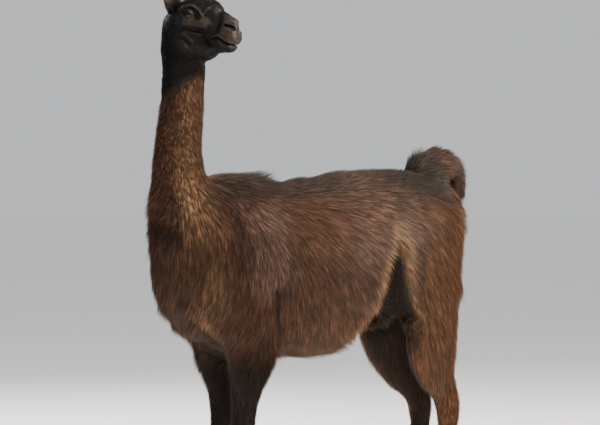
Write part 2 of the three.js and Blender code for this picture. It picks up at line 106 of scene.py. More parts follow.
# Each colour of the coat, at the root and at the palest tip of a tuft. The skin keeps where each one lies.
COLOURS = {
    "wool": ("#22160f", "#6b4a37"),
    "grey": ("#120e0c", "#382c26"),
    # a painted bluish-grey sheen
    "cool_sheen": ("#261c19", "#866a5e"),
    "warm": ("#2a1b11", "#8d6241"),
    # golden hair, and a painted highlight along edges
    "gold_and_highlight": ("#35281d", "#c69c74"),
    # reddish hair of the belly, and painted sunlight on the rump and hocks
    "rust_and_light": ("#24150a", "#8e5828"),
    # dark hair of the forelegs and feet, and painted shade in creases, gaps and on sides turned from the
    # light
    "dark": ("#070403", "#20150f"),
    # the head's black hair, and below the jaw partly the head's painted shadow
    "black": ("#020202", "#080707"),
    # painted highlight on the head's upturned folds, snout and cheek
    "painted_highlight": ("#1b1714", "#584b40"),
    # painted shade in the head's creases
    "crease_shade": ("#010101", "#030202"),
    "pink": ("#211815", "#3f312a"),
}

# ---- small tools

MATH, VECTOR, NAMED = "ShaderNodeMath", "ShaderNodeVectorMath", "GeometryNodeInputNamedAttribute"
STORE, RANDOM = "GeometryNodeStoreNamedAttribute", "FunctionNodeRandomValue"
SEPARATE, CELLS = "ShaderNodeSeparateXYZ", "ShaderNodeTexVoronoi"
NOISE, MIX, RANGE = "ShaderNodeTexNoise", "ShaderNodeMix", "ShaderNodeMapRange"
ATTRIBUTE, SHADER = "ShaderNodeAttribute", "ShaderNodeBsdfPrincipled"


def linear(hex_colour):
    """A colour such as "#3a2218" as linear RGBA."""
    values = [int(hex_colour[i : i + 2], 16) / 255 for i in (1, 3, 5)]
    return [v / 12.92 if v <= 0.04045 else ((v + 0.055) / 1.055) ** 2.4 for v in values] + [1.0]


def add(tree, kind, inputs=(), **settings):
    """Adds a node. Its inputs, in order or by name, are values, or the sockets or nodes that feed them."""
    made = tree.nodes.new(kind)
    for name, value in settings.items():
        setattr(made, name, value)
    for key, value in inputs.items() if isinstance(inputs, dict) else enumerate(inputs):
        source = value.outputs[0] if isinstance(value, bpy.types.Node) else value
        if isinstance(source, bpy.types.NodeSocket):
            tree.links.new(source, made.inputs[key])
        else:
            made.inputs[key].default_value = source
    return made


def ramp(low, high, value):
    """0 at low and 1 at high, with a soft start and end."""
    t = np.clip((value - low) / (high - low), 0, 1)
    return t * t * (3 - 2 * t)


def new_object(name, data):
    made = bpy.data.objects.new(name, data)
    bpy.context.scene.collection.objects.link(made)
    return made


def numbers(items, name, width):
    """One property of many items as an array."""
    values = np.empty(len(items) * width, np.float32)
    items.foreach_get(name, values)
    return values.reshape(-1, width) if width > 1 else values


def store(mesh, name, values, kind="FLOAT", domain="POINT"):
    """Keeps one value for each point or face of a mesh under a name."""
    field = "vector" if kind == "FLOAT_VECTOR" else "value"
    mesh.attributes.new(name, kind, domain).data.foreach_set(field, np.ravel(values))


def baked(source, name):
    """The evaluated object as a plain mesh in an object of its own. The source is removed."""
    evaluated = source.evaluated_get(bpy.context.evaluated_depsgraph_get())
    mesh = bpy.data.meshes.new_from_object(evaluated)
    bpy.data.objects.remove(source)
    mesh.name = name
    mesh.materials.clear()
    return new_object(name, mesh)


def finished(piece, material):
    """Gives a piece its one material, smoothly shaded."""
    piece.data.materials.append(material)
    piece.data.polygons.foreach_set("use_smooth", [True] * len(piece.data.polygons))


def placed(piece, slot, *nodes):
    """Puts a finished piece on the model in place of the CAD nodes it stands for."""
    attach(piece, "root")
    if nodes:
        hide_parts(*nodes)


# ---- places from the frame


def middle(node):
    low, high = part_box(node)
    return (low + high) / 2


UP = Vector((0, 0, 1))
HEAD_LEFT = (middle("eye_left") - middle("eye_right")).normalized()
HEAD_LEVEL = HEAD_LEFT.cross(UP)
HEAD_FORWARD = HEAD_LEVEL * math.cos(HEAD_PITCH) - UP * math.sin(HEAD_PITCH)
HEAD_UP = HEAD_FORWARD.cross(HEAD_LEFT)
HEAD_CENTRE = (middle("eye_left") + middle("eye_right")) / 2 - HEAD_FORWARD * EYES_AHEAD.x
HEAD_CENTRE = HEAD_CENTRE - HEAD_UP * EYES_AHEAD.z


def in_head(x, y, z):
    """Places as millimetres forward, left and up from the head's centre."""
    shifted = [x - HEAD_CENTRE.x, y - HEAD_CENTRE.y, z - HEAD_CENTRE.z]
    axes = (HEAD_FORWARD, HEAD_LEFT, HEAD_UP)
    return [sum(s * a for s, a in zip(shifted, axis)) / MM for axis in axes]


def away(places, path):
    """How far places are from a path of straight pieces, in as many directions as the path has."""
    nearest = np.float32(np.inf)
    for start, end in zip(path, path[1:]):
        start, run = np.array(start, np.float32), np.subtract(end, start).astype(np.float32)
        along = sum((p - s) * r for p, s, r in zip(places, start, run)) / max(run @ run, 1e-9)
        along = np.clip(along, 0, 1)
        gap = sum((p - s - along * r) ** 2 for p, s, r in zip(places, start, run))
        nearest = np.minimum(nearest, gap)
    return np.sqrt(nearest)


def softly(a, b, blend):
    """The larger of two distances, with the edge where they meet rounded over `blend`."""
    overlap = np.maximum(blend - np.abs(a - b), 0) / blend
    return np.maximum(a, b) + overlap**2 * blend / 4


TAIL_LOW, TAIL_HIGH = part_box("tail")
TAIL_TURN = Vector((0, TAIL_LOW.y + 0.078, TAIL_HIGH.z - 0.14))  # the middle of the tail's curl
EAR_ROOT = (-52, 46, -12)  # the left ear, in the head's millimetres
EAR_LENGTH = 178
EAR_HALF_WIDTH = 25
EAR_THICK = 6
EAR_TURN = math.radians(41)  # how far the back of an ear turns in from the side of the head


def ear_sheet(forward, left, up):
    """How far places are from the nearer ear, a cupped sheet, and how far behind its middle layer."""
    along = np.clip((up - EAR_ROOT[2]) / EAR_LENGTH, 0, 1)
    bow = 20 * np.sin(np.pi * 0.9 * along)
    ahead = forward - EAR_ROOT[0] + bow * 0.5 + 8 * along
    aside = np.abs(left) - EAR_ROOT[1] - bow - 6 + 22 * along**2
    across = ahead * math.cos(EAR_TURN) - aside * math.sin(EAR_TURN)
    behind = -ahead * math.sin(EAR_TURN) - aside * math.cos(EAR_TURN)
    width = EAR_HALF_WIDTH * np.sin(np.pi * (0.16 + 0.82 * along) ** 0.9) + 1
    cup = 18 - 13 * along
    steep = 2 * cup * across / width**2
    behind = behind - cup * (1 - (across / width) ** 2) + EAR_THICK / 2
    behind = behind / np.sqrt(1 + steep**2)
    gap = softly(np.abs(behind) - EAR_THICK / 2, np.abs(across) - width, 4)
    past = np.maximum(up - EAR_ROOT[2] - EAR_LENGTH, EAR_ROOT[2] - up)
    return np.maximum(gap, past), behind


def throat_line(forward):
    """The height where the short black hair of the head begins, by millimetres forward in the head.

    Below the jaw it follows the edge of the head's shadow, so the black there is partly painted shadow.
    """
    return np.interp(forward, [-51, 7, 27, 45, 58, 76], [1.385, 1.410, 1.445, 1.475, 1.490, 1.450])


# The gap between the belly and the thigh: by height, its front and rear edges on the left side, and how
# near to the middle it reaches.
GAP_HEIGHTS = [0.60, 0.66, 0.70, 0.76, 0.83, 0.90, 0.96]
GAP_FRONT = [0.035, 0.086, 0.108, 0.138, 0.150, 0.162, 0.192]
GAP_REAR = [0.268, 0.278, 0.290, 0.256, 0.218, 0.188, 0.183]
GAP_INNER = [-0.02, -0.02, -0.01, 0.030, 0.070, 0.120, 0.190]
GAP_TOP = 0.95
RIGHT_THIGH_AHEAD = 0.045  # the right hind leg stands further forward


def thigh_ahead(x, z):
    """How much further forward places are than the same places on the left side."""
    return RIGHT_THIGH_AHEAD * (x < 0) * ramp(0.94, 0.86, z)


def flank_gap(x, y, z):
    """How far places are outside the gap between the belly and the thigh: negative in it."""
    front, rear, inner = (np.interp(z, GAP_HEIGHTS, edge) for edge in (GAP_FRONT, GAP_REAR, GAP_INNER))
    beside = np.maximum(front - y, y - (rear - thigh_ahead(x, z)))
    return softly(np.maximum(beside, z - GAP_TOP), inner - np.abs(x), 0.03)


def as_left(x, y, z):
    """Places as they would be on the left side, with the right thigh moved back to match."""
    return np.abs(x), y + thigh_ahead(x, z), z


def regions(x, y, z):
    """How much each place belongs to each part of the coat. The shares add up to 1."""
    forward, left, up = in_head(x, y, z)
    head = ramp(-0.012, 0.012, z - throat_line(forward))
    off_ear = ear_sheet(forward, left, up)[0]
    ear = ramp(7, 3, off_ear) * ramp(14, 34, up)
    nape = ramp(-34, -50, forward + np.clip(up, -200, 0) * 0.1) + ramp(-96, -116, up + forward * 0.2)
    nape = np.clip(nape, 0, 1) * (1 - ear) * ramp(6, 16, off_ear)
    above_chest = -0.737 * (y + 0.486) + 0.676 * (z - 1.05)
    neck = ramp(-0.05, 0.06, above_chest) * ramp(-0.25, -0.33, y) * (1 - head)
    tail = ramp(0.425, 0.455, y) * ramp(-0.02, 0.012, z - 1.135 + (y - 0.44) * 1.2)
    groin = ramp(0.032, 0.016, flank_gap(x, y, z)) * ramp(0.97, 0.90, z) * ramp(0.45, 0.55, z)
    leg = ramp(LEG_TOP, 0.40, z) * (1 - groin)
    foot = ramp(0.105, 0.07, z)
    shares = {
        "ear": head * ear,
        "nape": head * nape,
        "face": head * (1 - ear - nape),
        "neck": neck,
        "tail": (1 - head) * (1 - neck) * tail,
        "foot": foot,
        "groin": groin,
        "leg": leg * (1 - foot),
    }
    shares["trunk"] = np.clip(1 - sum(shares.values()), 0, 1)
    return shares


def coat_value(shares, measure):
    """One measure of the coat, blended between the parts that meet at each place."""
    which = MEASURES.index(measure)
    return sum(share * COAT[part][which] for part, share in shares.items())


# ---- the skin's shape


class Block:
    """Evenly spaced places in a box, and how far each is from the skin: negative inside."""

    def __init__(self, low, high, cell):
        self.cell = cell
        first = np.floor(np.array(low) / cell).astype(int)
        self.count = np.ceil(np.array(high) / cell).astype(int) - first + 1
        axes = [((first[k] + np.arange(self.count[k])) * cell).astype(np.float32) for k in range(3)]
        self.x, self.y, self.z = np.meshgrid(*axes, indexing="ij", sparse=True)
        self.corner = tuple(first.tolist())

    def fill(self, nodes, reach):
        """Measures to the CAD solids, as one body with the thin gaps between them closed."""
        points, triangles, count = [], [], 0
        for node in nodes:
            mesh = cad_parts[node].data
            points.append(numbers(mesh.vertices, "co", 3))
            corners = np.empty(len(mesh.loops), np.int32)
            mesh.loops.foreach_get("vertex_index", corners)
            triangles.append(corners.reshape(-1, 3) + count)
            count += len(mesh.vertices)
        transform = vdb.createLinearTransform(voxelSize=self.cell)
        solid = vdb.FloatGrid.createLevelSetFromPolygons(
            np.concatenate(points), triangles=np.concatenate(triangles).astype(np.uint32),
            transform=transform, halfWidth=3)
        closing = self.cell / 3
        points, quads = solid.convertToQuads(closing)
        solid = vdb.FloatGrid.createLevelSetFromPolygons(
            points, quads=quads, transform=transform, halfWidth=reach / self.cell)
        self.distance = np.empty(self.count, np.float32)
        solid.copyToArray(self.distance, ijk=self.corner)
        self.distance += closing

    def draw_in(self):
        """Brings the surface in by the depth of the coat, which is nothing under the soles."""
        shares = regions(self.x, self.y, self.z)
        depth = coat_value(shares, "depth") * MM * ramp(0.001, 0.014, self.z)
        self.distance += depth.astype(np.float32)

    def smooth(self, times):
        for axis in [0, 1, 2] * times:
            n = self.distance.shape[axis]
            rows = np.pad(self.distance, [(int(k == axis),) * 2 for k in range(3)], mode="edge")
            near, here, far = (rows.take(range(k, k + n), axis=axis) for k in range(3))
            self.distance = (near + 2 * here + far) / 4

    def cut(self, outside):
        """Takes away what is outside a plane, given as how far each place is past it."""
        self.distance = np.maximum(self.distance, outside.astype(np.float32))

    def surface(self, name):
        """The skin as a mesh, closed where it meets the sides of the box."""
        far = 3 * self.cell
        inside = (slice(1, -1),) * 3
        values = np.full(self.count, far, np.float32)
        values[inside] = np.clip(self.distance[inside], -far, far)
        grid = vdb.FloatGrid(far)
        grid.transform = vdb.createLinearTransform(voxelSize=self.cell)
        grid.copyFromArray(values, ijk=self.corner)
        points, quads = grid.convertToQuads(0)
        mesh = bpy.data.meshes.new(name)
        mesh.from_pydata(points.tolist(), [], quads.tolist())
        return new_object(name, mesh)


# Folds on the side of the head, as paths seen from beside it (forward and up in the head's millimetres),
# each with a half width and a height. A fold with a height below zero is a crease or a hollow.
FOLDS = [
    ([(-28, 9), (-12, 18), (15, 28), (34, 18), (47, 4)], 5.5, 4.6),  # brow
    ([(48, 4), (55, 16), (61, 30)], 4.0, 3.4),  # fold that meets the brow in a V
    ([(-8, 15), (14, 20), (30, 13), (42, 2)], 2.8, -3.2),  # crease under the brow
    ([(-10, 9), (12, 13), (27, 9), (38, -1)], 3.0, 2.4),  # fold over the upper lid
    ([(-32, -4), (-15, 0)], 2.8, 2.4),  # fold behind the corner of the eye
    ([(-42, 14), (-28, 12)], 4.0, 2.4),  # temple
    ([(-12, -12), (2, -18), (18, -13)], 2.4, -2.6),  # crease under the lower lid
    ([(-8, -27), (38, -24), (78, -17)], 9.0, 3.4),  # cheekbone
    ([(-4, -42), (32, -42), (60, -41), (78, -38)], 8.0, -1.4),  # hollow under the cheekbone
    ([(50, -7), (66, -6)], 9.0, 4.2),  # front end of the cheekbone
    ([(0, -51), (22, -54), (50, -52)], 6.5, 3.2),  # upper cheek fold
    ([(14, -62), (44, -62)], 5.0, -1.4),  # crease under it
    ([(-6, -61), (10, -66), (27, -78)], 6.2, 3.2),  # lower cheek fold
    ([(-6, -71), (8, -77), (20, -88)], 4.6, -1.6),  # crease behind it
    ([(-8, -82), (6, -91), (14, -102)], 5.4, 3.0),  # fold on the jaw
    ([(92, 20), (101, 0), (101, -28)], 12.0, -4.6),  # hollow between the cheek and the nose
    ([(122, -4), (136, 6), (154, 3), (163, -9)], 6.0, 4.4),  # nostril's upper rim
    ([(124, -20), (145, -24), (157, -27)], 4.2, 2.6),  # nostril's lower rim
    ([(120, -36), (147, -40)], 13.0, 3.6),  # upper lip
    ([(159, -28), (165, -46)], 7.5, 3.0),  # front of the upper lip
    ([(86, -53), (109, -44), (133, -53), (152, -58)], 4.2, 3.2),  # edge of the upper lip
    ([(110, -64), (133, -71), (152, -73)], 5.5, 3.4),  # lower lip
    ([(138, -84), (152, -80)], 7.5, 3.0),  # chin
    ([(74, -56), (77, -68), (86, -78)], 4.0, -3.2),  # crease behind the corner of the mouth
    ([(18, -102), (52, -98)], 17.0, 3.0),  # jaw muscle
]
# Openings, each with a half width, a depth, and how far from the middle it ends where it does.
SLITS = [
    ([(125, -11), (141, -11.5), (150, -15), (155, -19)], 3.4, 12, 9),  # nostril
    ([(84, -60), (110, -52), (134, -61.5), (153, -66), (185, -66)], 1.9, 8, 0),  # mouth
]
CLEFT = [(160, 0, -20), (170, 0, -40), (168, 0, -62)]  # down the middle of the upper lip
WRINKLE_APART, WRINKLE_HEIGHT = 11, 0.9  # on the forehead, in millimetres
EYE_FACING = Vector((0.50, 0.865, 0.04)).normalized()  # for the left eye, in the head's axes
EYE_ACROSS = (Vector((1, 0, 0)) - EYE_FACING * EYE_FACING.x).normalized()
EYE_UPWARD = EYE_FACING.cross(EYE_ACROSS) * -1
LID_THICK = 2.6 * MM
LID_OPEN = (13.5, 7.6)  # half the width and height of the space between the lids, in millimetres
LID_TILT = 0.10


def ridged(distance, gap, width, height):
    """Raises the skin by `height` millimetres beside a path, or sinks it where that is below zero."""
    return distance - height * MM * np.exp(-((gap / width) ** 2))


def eye_axes(forward, left, up):
    """Places as millimetres out of the nearer eye, across it towards the nose, and up it."""
    place = (forward - EYES_AHEAD.x / MM, np.abs(left) - EYE_ASIDE, up - EYES_AHEAD.z / MM)
    return [sum(p * a for p, a in zip(place, axis)) for axis in (EYE_FACING, EYE_ACROSS, EYE_UPWARD)]


def lid_gap(across, upward):
    """How far places are from the opening between the lids, in millimetres: negative in it."""
    return np.abs(upward + across * LID_TILT) - LID_OPEN[1] * (1 - (across / LID_OPEN[0]) ** 2)


def sculpt_ears(block):
    """Sets the ears on the head, as thin cupped sheets that flow into it at their roots."""
    forward, left, up = in_head(block.x, block.y, block.z)
    near = (up > EAR_ROOT[2] - 1) & (np.abs(forward - EAR_ROOT[0]) < 50)
    ear = ear_sheet(*(v[near] for v in (forward, left, up)))[0] * MM
    block.distance[near] = -softly(-block.distance[near], -ear, 12 * MM)


def sculpt_head(block):
    """Adds the folds, lids, nostrils, mouth and lips to the head."""
    near = np.abs(block.distance) < HEAD_REACH
    forward, left, up = (v[near] for v in in_head(block.x, block.y, block.z))
    aside = np.abs(left)
    distance = block.distance[near]
    ear = ramp(9, 3, ear_sheet(forward, left, up)[0]) * ramp(20, 36, up)
    plain = distance
    for path, width, height in FOLDS:
        distance = ridged(distance, away((forward, up), path), width, height)
    brow = ramp(22, 34, up) * ramp(8, 20, forward) * ramp(74, 60, forward) * ramp(34, 22, aside)
    wave = np.cos(2 * np.pi * (forward + aside * 0.25 + up * 0.2 + 2.4 * np.sin(aside / 4)) / WRINKLE_APART)
    distance = distance - WRINKLE_HEIGHT * MM * brow * wave
    distance = ridged(distance, away((forward, left, up), CLEFT), 3.0, -5.0)
    distance = distance * (1 - ear) + plain * ear

    # Each eye sits in its socket, under lids that follow the ball and leave an almond-shaped opening.
    out, across, upward = eye_axes(forward, left, up)
    reach = np.sqrt(out**2 + across**2 + upward**2) * MM
    distance = -softly(-distance, -(reach - EYE_RADIUS - LID_THICK), 6 * MM)
    gap = lid_gap(across, upward)
    distance = ridged(distance, np.abs(gap - 1.5) + np.maximum(6 - out, 0), 2.2, 1.3)
    distance = np.maximum(distance, -np.maximum(gap * MM, EYE_RADIUS * 0.3 - out * MM))
    distance = np.maximum(distance, np.where(out > 0, EYE_RADIUS * 0.97 - reach, -1))

    for path, width, deep, inner in SLITS:
        slit = np.maximum(away((forward, up), path) - width, -deep - plain / MM) * MM
        if inner:
            slit = np.maximum(slit, (inner - aside) * MM)
        distance = softly(distance, -slit, 2 * MM)
    block.distance[near] = distance


# Grooves and swells of the body, seen from beside it (along and up in metres), with half widths and
# heights in millimetres. The named ones also carry painted shade, sheen or highlight in the coat.
SHOULDER_FRONT = [(-0.383, 1.030), (-0.372, 0.970), (-0.352, 0.900)]
SHOULDER_BLADE = [(-0.300, 1.060), (-0.290, 0.960), (-0.268, 0.860)]
ELBOW_BACK = [(-0.250, 0.810), (-0.240, 0.740), (-0.212, 0.640)]
CHEST_HEM = [(-0.505, 0.757), (-0.458, 0.730), (-0.420, 0.693), (-0.404, 0.668)]
SWELLS = [
    ([(-0.590, 0.962), (-0.552, 0.950), (-0.525, 0.958), (-0.500, 0.976)], 13, -4),  # foot of the neck
    (SHOULDER_FRONT, 17, -10),
    (SHOULDER_BLADE, 30, 6),
    (ELBOW_BACK, 15, -19),
    ([(-0.375, 1.125), (-0.300, 1.135)], 30, 10),  # withers
    ([(-0.130, 1.130), (-0.090, 1.130)], 45, 6),  # hollow behind them
    ([(0.370, 1.100), (0.270, 1.040), (0.200, 0.970)], 30, -4),  # front of the haunch
    ([(0.140, 0.900), (0.105, 0.780), (0.040, 0.680)], 34, 7),  # loose skin of the flank
    ([(0.386, 1.172), (0.402, 1.198)], 30, 18),  # front of the tail's root
    ([(-0.560, 0.940), (-0.552, 0.840), (-0.525, 0.750), (-0.470, 0.690)], 42, 14),  # front of the chest
    (CHEST_HEM, 13, 7),
    ([(-0.490, 0.722), (-0.440, 0.696), (-0.402, 0.656)], 12, -8),  # hollow under it
]


def sculpt_body(block):
    """Adds the gaps in front of the thighs, and the grooves and swells of the body."""
    for path, width, height in SWELLS:
        gap = away((block.y, block.z), path) / MM
        block.distance = ridged(block.distance, gap, width, height)
    block.distance = softly(block.distance, -flank_gap(block.x, block.y, block.z), 0.025).astype(np.float32)


def make_skin():
    """One closed skin for the whole animal, fine on the head and the lower legs."""
    low, high = (np.array(v) for v in CAD_BOX)
    margin = 3 * TRUNK_CELL

    trunk = Block([*(low[:2] - margin), LEG_CUT - LAP - margin],
                  [*(high[:2] + margin), NECK_CUT + LAP + margin], TRUNK_CELL)
    trunk.fill(FLESH, TRUNK_REACH)
    sculpt_body(trunk)
    trunk.draw_in()
    trunk.smooth(1)
    trunk.cut(LEG_CUT - LAP - trunk.z)
    trunk.cut(trunk.z - NECK_CUT - LAP)

    legs = Block([*(low[:2] - margin), -margin], [*(high[:2] + margin), LEG_CUT + LAP + margin], LEG_CELL)
    legs.fill(FLESH, LEG_REACH)
    legs.draw_in()
    legs.smooth(1)
    legs.distance += (INSET * ramp(LEG_CUT - 2 * LAP, LEG_CUT - LAP, legs.z)).astype(np.float32)
    legs.cut(legs.z - LEG_CUT - LAP)
    legs.cut(-legs.z)

    corners = np.array([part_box(node) for node in ("head", "ear_left", "ear_right", "neck")])
    low = np.array([*corners[:, 0].min(axis=0)[:2], NECK_CUT - LAP])
    head = Block(low - HEAD_MARGIN, corners[:3, 1].max(axis=0) + HEAD_MARGIN, HEAD_CELL)
    head.fill([node for node in FLESH if not node.startswith("ear")], HEAD_REACH)
    head.smooth(2)
    head.draw_in()
    sculpt_ears(head)
    sculpt_head(head)
    head.smooth(1)
    head.distance += (INSET * ramp(NECK_CUT + 2 * LAP, NECK_CUT + LAP, head.z)).astype(np.float32)
    head.cut(NECK_CUT - LAP - head.z)

    fine_head = head.surface("fine_head")
    fine_head.modifiers.new("fewer", "DECIMATE").ratio = HEAD_KEEP
    finer = [legs.surface("fine_legs"), baked(fine_head, "fine_head")]
    skin = trunk.surface("skin")
    for fine in finer:
        join = skin.modifiers.new(fine.name, "BOOLEAN")
        join.operation, join.solver, join.object = "UNION", "MANIFOLD", fine
    skin = baked(skin, "skin")
    for fine in finer:
        bpy.data.objects.remove(fine)
    return skin


# ---- the lie of the coat


def unit(vectors):
    return vectors / np.maximum(np.linalg.norm(vectors, axis=1, keepdims=True), 1e-9)


CURL = (0.120, 0.269, 0.665)  # in front of each thigh, where the hair turns round
CURL_INNER, CURL_OUTER = 0.035, 0.055  # it is whole within the first and gone past the second


def lie_of(points, normals, shares):
    """The direction that the coat is brushed in at each place, along the skin."""
    x, y, z = points.T
    forward, left, up = in_head(x, y, z)
    level = np.zeros_like(x)

    lean = np.interp(z, [0.60, 0.80, 0.95, 1.08, 1.15], [8, 24, 44, 64, 84])
    lean = lean - ramp(0.04, -0.42, y) * np.interp(z, [0.8, 1.1], [44, 40])
    lean = lean * (1 - 0.62 * ramp(0.26, 0.42, y) * ramp(1.14, 1.05, z))
    lean = np.radians(lean)
    trunk = np.stack([level, np.sin(lean), -np.cos(lean)], 1)
    under = ramp(-0.55, -0.9, normals[:, 2])[:, None]
    trunk = trunk * (1 - under) + np.array([0, 0.95, -0.2]) * under

    down = np.stack([level, level, level - 1], 1)
    axes = np.array([HEAD_FORWARD, HEAD_LEFT, HEAD_UP])
    face = np.stack([level - 1, 0.15 * np.sign(left), np.interp(up, [-90, -20, 30], [-0.5, -0.1, 0.3])], 1)
    face = unit(face @ axes)
    to_neck = ramp(20, -45, forward)[:, None] * ramp(-20, -90, up)[:, None]
    face = face * (1 - to_neck) + down * to_neck
    ear = unit(np.stack([level - 0.1, 0.2 * np.sign(left), level + 1], 1) @ axes)
    around = np.stack([level, z - TAIL_TURN.z, -(y - TAIL_TURN.y)], 1)

    lies = {"trunk": trunk, "neck": down, "face": face, "nape": face, "ear": ear, "tail": unit(around),
            "leg": down, "groin": down, "foot": down + np.array([0, -0.6, 0])}
    lie = sum(shares[part][:, None] * lies[part] for part in shares)
    spoke = np.stack(as_left(x, y, z), 1) - np.array(CURL)
    curl = ramp(CURL_OUTER, CURL_INNER, np.linalg.norm(spoke, axis=1))[:, None]
    spoke[:, 0] *= np.sign(x)
    turned = unit(np.cross(normals, spoke) * np.sign(x)[:, None] + spoke * 0.2)
    lie = lie * (1 - curl) + turned * curl
    lie = lie - normals * np.sum(lie * normals, axis=1, keepdims=True)
    return unit(lie)


# Each style of tuft: its wool, how many joints a tuft has, how much it gathers into locks and how much it
# strays, how large a lock is in metres, and how often it crimps.
STYLE_INPUTS = ("Joints", "Gather", "Stray", "Lock size", "Crimps")
STYLES = {
    "long": ("long llama wool", 1, 0.12, 0.24, 0.008, 1.2),
    "fleece": ("crimped llama wool", 1, 0.45, 0.6, 0.0065, 1.5),
    "short": ("short black llama hair", 1, 0.0, 0.2, 0.01, 1.0),
    "leg": ("long llama wool", 1, 0.2, 0.4, 0.007, 1.2),
    "tail": ("long llama wool", 2, 0.18, 0.34, 0.008, 1.2),
    "lash": ("short black llama hair", 3, 0.0, 0.1, 0.01, 0.0),
}
PIECES = {
    "trunk_left": "long", "trunk_right": "long", "shoulder_left": "long", "shoulder_right": "long",
    "haunch_left": "long", "haunch_right": "long", "neck_left": "fleece", "neck_right": "fleece",
    "head": "short", "tail": "tail", "forelegs": "leg", "hindlegs": "leg", "lashes": "lash",
}
FIRST_SEED = 11  # of the pieces' random draws


def on_upper_lid(out, across, upward):
    """Whether places are on the edge of an upper lid, where the lashes grow."""
    gap = lid_gap(across, upward)
    return (out > 8) & (upward > 0) & (np.abs(gap - 0.8) < 1.6) & (np.abs(across) < LID_OPEN[0])


def piece_of(centres, shares):
    """Which piece of the coat each face of the skin carries, as a number in PIECES."""
    x, y, z = centres.T
    part = np.array(list(shares))[np.argmax(list(shares.values()), axis=0)]
    lash = on_upper_lid(*eye_axes(*in_head(x, y, z)))
    low = (z < LEG_TOP) & np.isin(part, ["leg", "foot"])
    head = np.isin(part, ["face", "nape", "ear"])
    number = {name: i for i, name in enumerate(PIECES)}
    right = x < 0
    return np.select(
        [lash, low & (y < 0.05), low, part == "tail", head, part == "neck", y > 0.22, y < -0.20],
        [number["lashes"], number["forelegs"], number["hindlegs"], number["tail"], number["head"],
         number["neck_left"] + right, number["haunch_left"] + right, number["shoulder_left"] + right],
        number["trunk_left"] + right)


LASH_DENSITY = 0.5 / MM**2
LASH = {"long": 12, "wide": 0.6, "rise": 0.1, "keep": 1, "crimp": 0}  # measured as in COAT
TUFTS = [  # places where the coat stands up longer: a place, a reach, and what changes there
    ((0.0, -0.25, 1.14), 0.060, {"long": 60, "rise": 1.2}),
    ((0.0, -0.60, 1.04), 0.110, {"long": 32, "rise": 1.3, "crimp": 0.35}),
    ((0.0, 0.355, 1.15), 0.040, {"long": 40, "rise": 0.5}),
    ((0.0, 0.385, 1.18), 0.045, {"long": 40, "rise": 0.6}),
    (tuple(TAIL_TURN), 0.055, {"long": 55, "rise": 1.3}),
    (CURL, 0.048, {"long": 27, "rise": 0.28}),
    ((0.10, -0.11, 0.60), 0.110, {"long": 62, "rise": 0.8}),
    ((0.09, 0.02, 0.61), 0.070, {"long": 54, "rise": 0.7}),
]


def close_to(points, place, full, none):
    """1 within `full` metres of a place on the left side or its match on the right, 0 past `none`."""
    return ramp(none, full, away(as_left(*points.T), [place, place]))


def most(*shares):
    """The largest of several shares at each place."""
    return np.stack(shares).max(axis=0)


def mark_coat(mesh, points, normals, shares):
    """Keeps how the coat grows on each place of the skin, and how bare that place is."""
    x, y, z = points.T
    forward, left, up = in_head(x, y, z)
    out, across, upward = eye_axes(forward, left, up)
    lash = on_upper_lid(out, across, upward)
    outward = np.array(HEAD_FORWARD * EYE_FACING.x - HEAD_UP * 0.1)
    outward = unit(outward[None, :] + np.sign(left)[:, None] * np.array(HEAD_LEFT)[None, :])
    lie = np.where(lash[:, None], outward, lie_of(points, normals, shares))
    store(mesh, "lie", lie, "FLOAT_VECTOR")
    for name, lash_value in LASH.items():
        value = np.where(lash, lash_value, coat_value(shares, name))
        for place, reach, changes in TUFTS:
            if name in changes:
                share = close_to(points, place, 0.4 * reach, reach)
                value = value * (1 - share) + changes[name] * share
        if name == "long":  # short enough near the floor not to reach it
            value = np.minimum(value, np.maximum(z / MM - 4, 2) * 1.1)
        store(mesh, name, value * MM if name in ("long", "wide") else value)

    room = 0  # the area that one tuft has, in square millimetres
    for part, share in shares.items():
        measures = dict(zip(MEASURES, COAT[part]))
        room = room + share * measures["long"] * measures["wide"] * TUFT_FILL / measures["cover"]
    inner_ear = shares["ear"] * ramp(0.5, -1.5, ear_sheet(forward, left, up)[1])
    hairy = ramp(1, 4, lid_gap(across, upward) + np.maximum(4 - out, 0)) * ramp(0.003, 0.008, z)
    for path, width, *_ in SLITS:
        hairy = hairy * ramp(width + 1, width + 4, away((forward, up), path))
    nose = ramp(150, 158, forward) * ramp(-75, -60, up)
    close = 1 / room / MM**2 * hairy * (1 - 0.8 * nose) * (1 - 0.80 * inner_ear)
    store(mesh, "close", np.where(lash, LASH_DENSITY, close))
    store(mesh, "pink", inner_ear)
    store(mesh, "leather", np.clip(1 - hairy + 0.4 * nose, 0, 1))


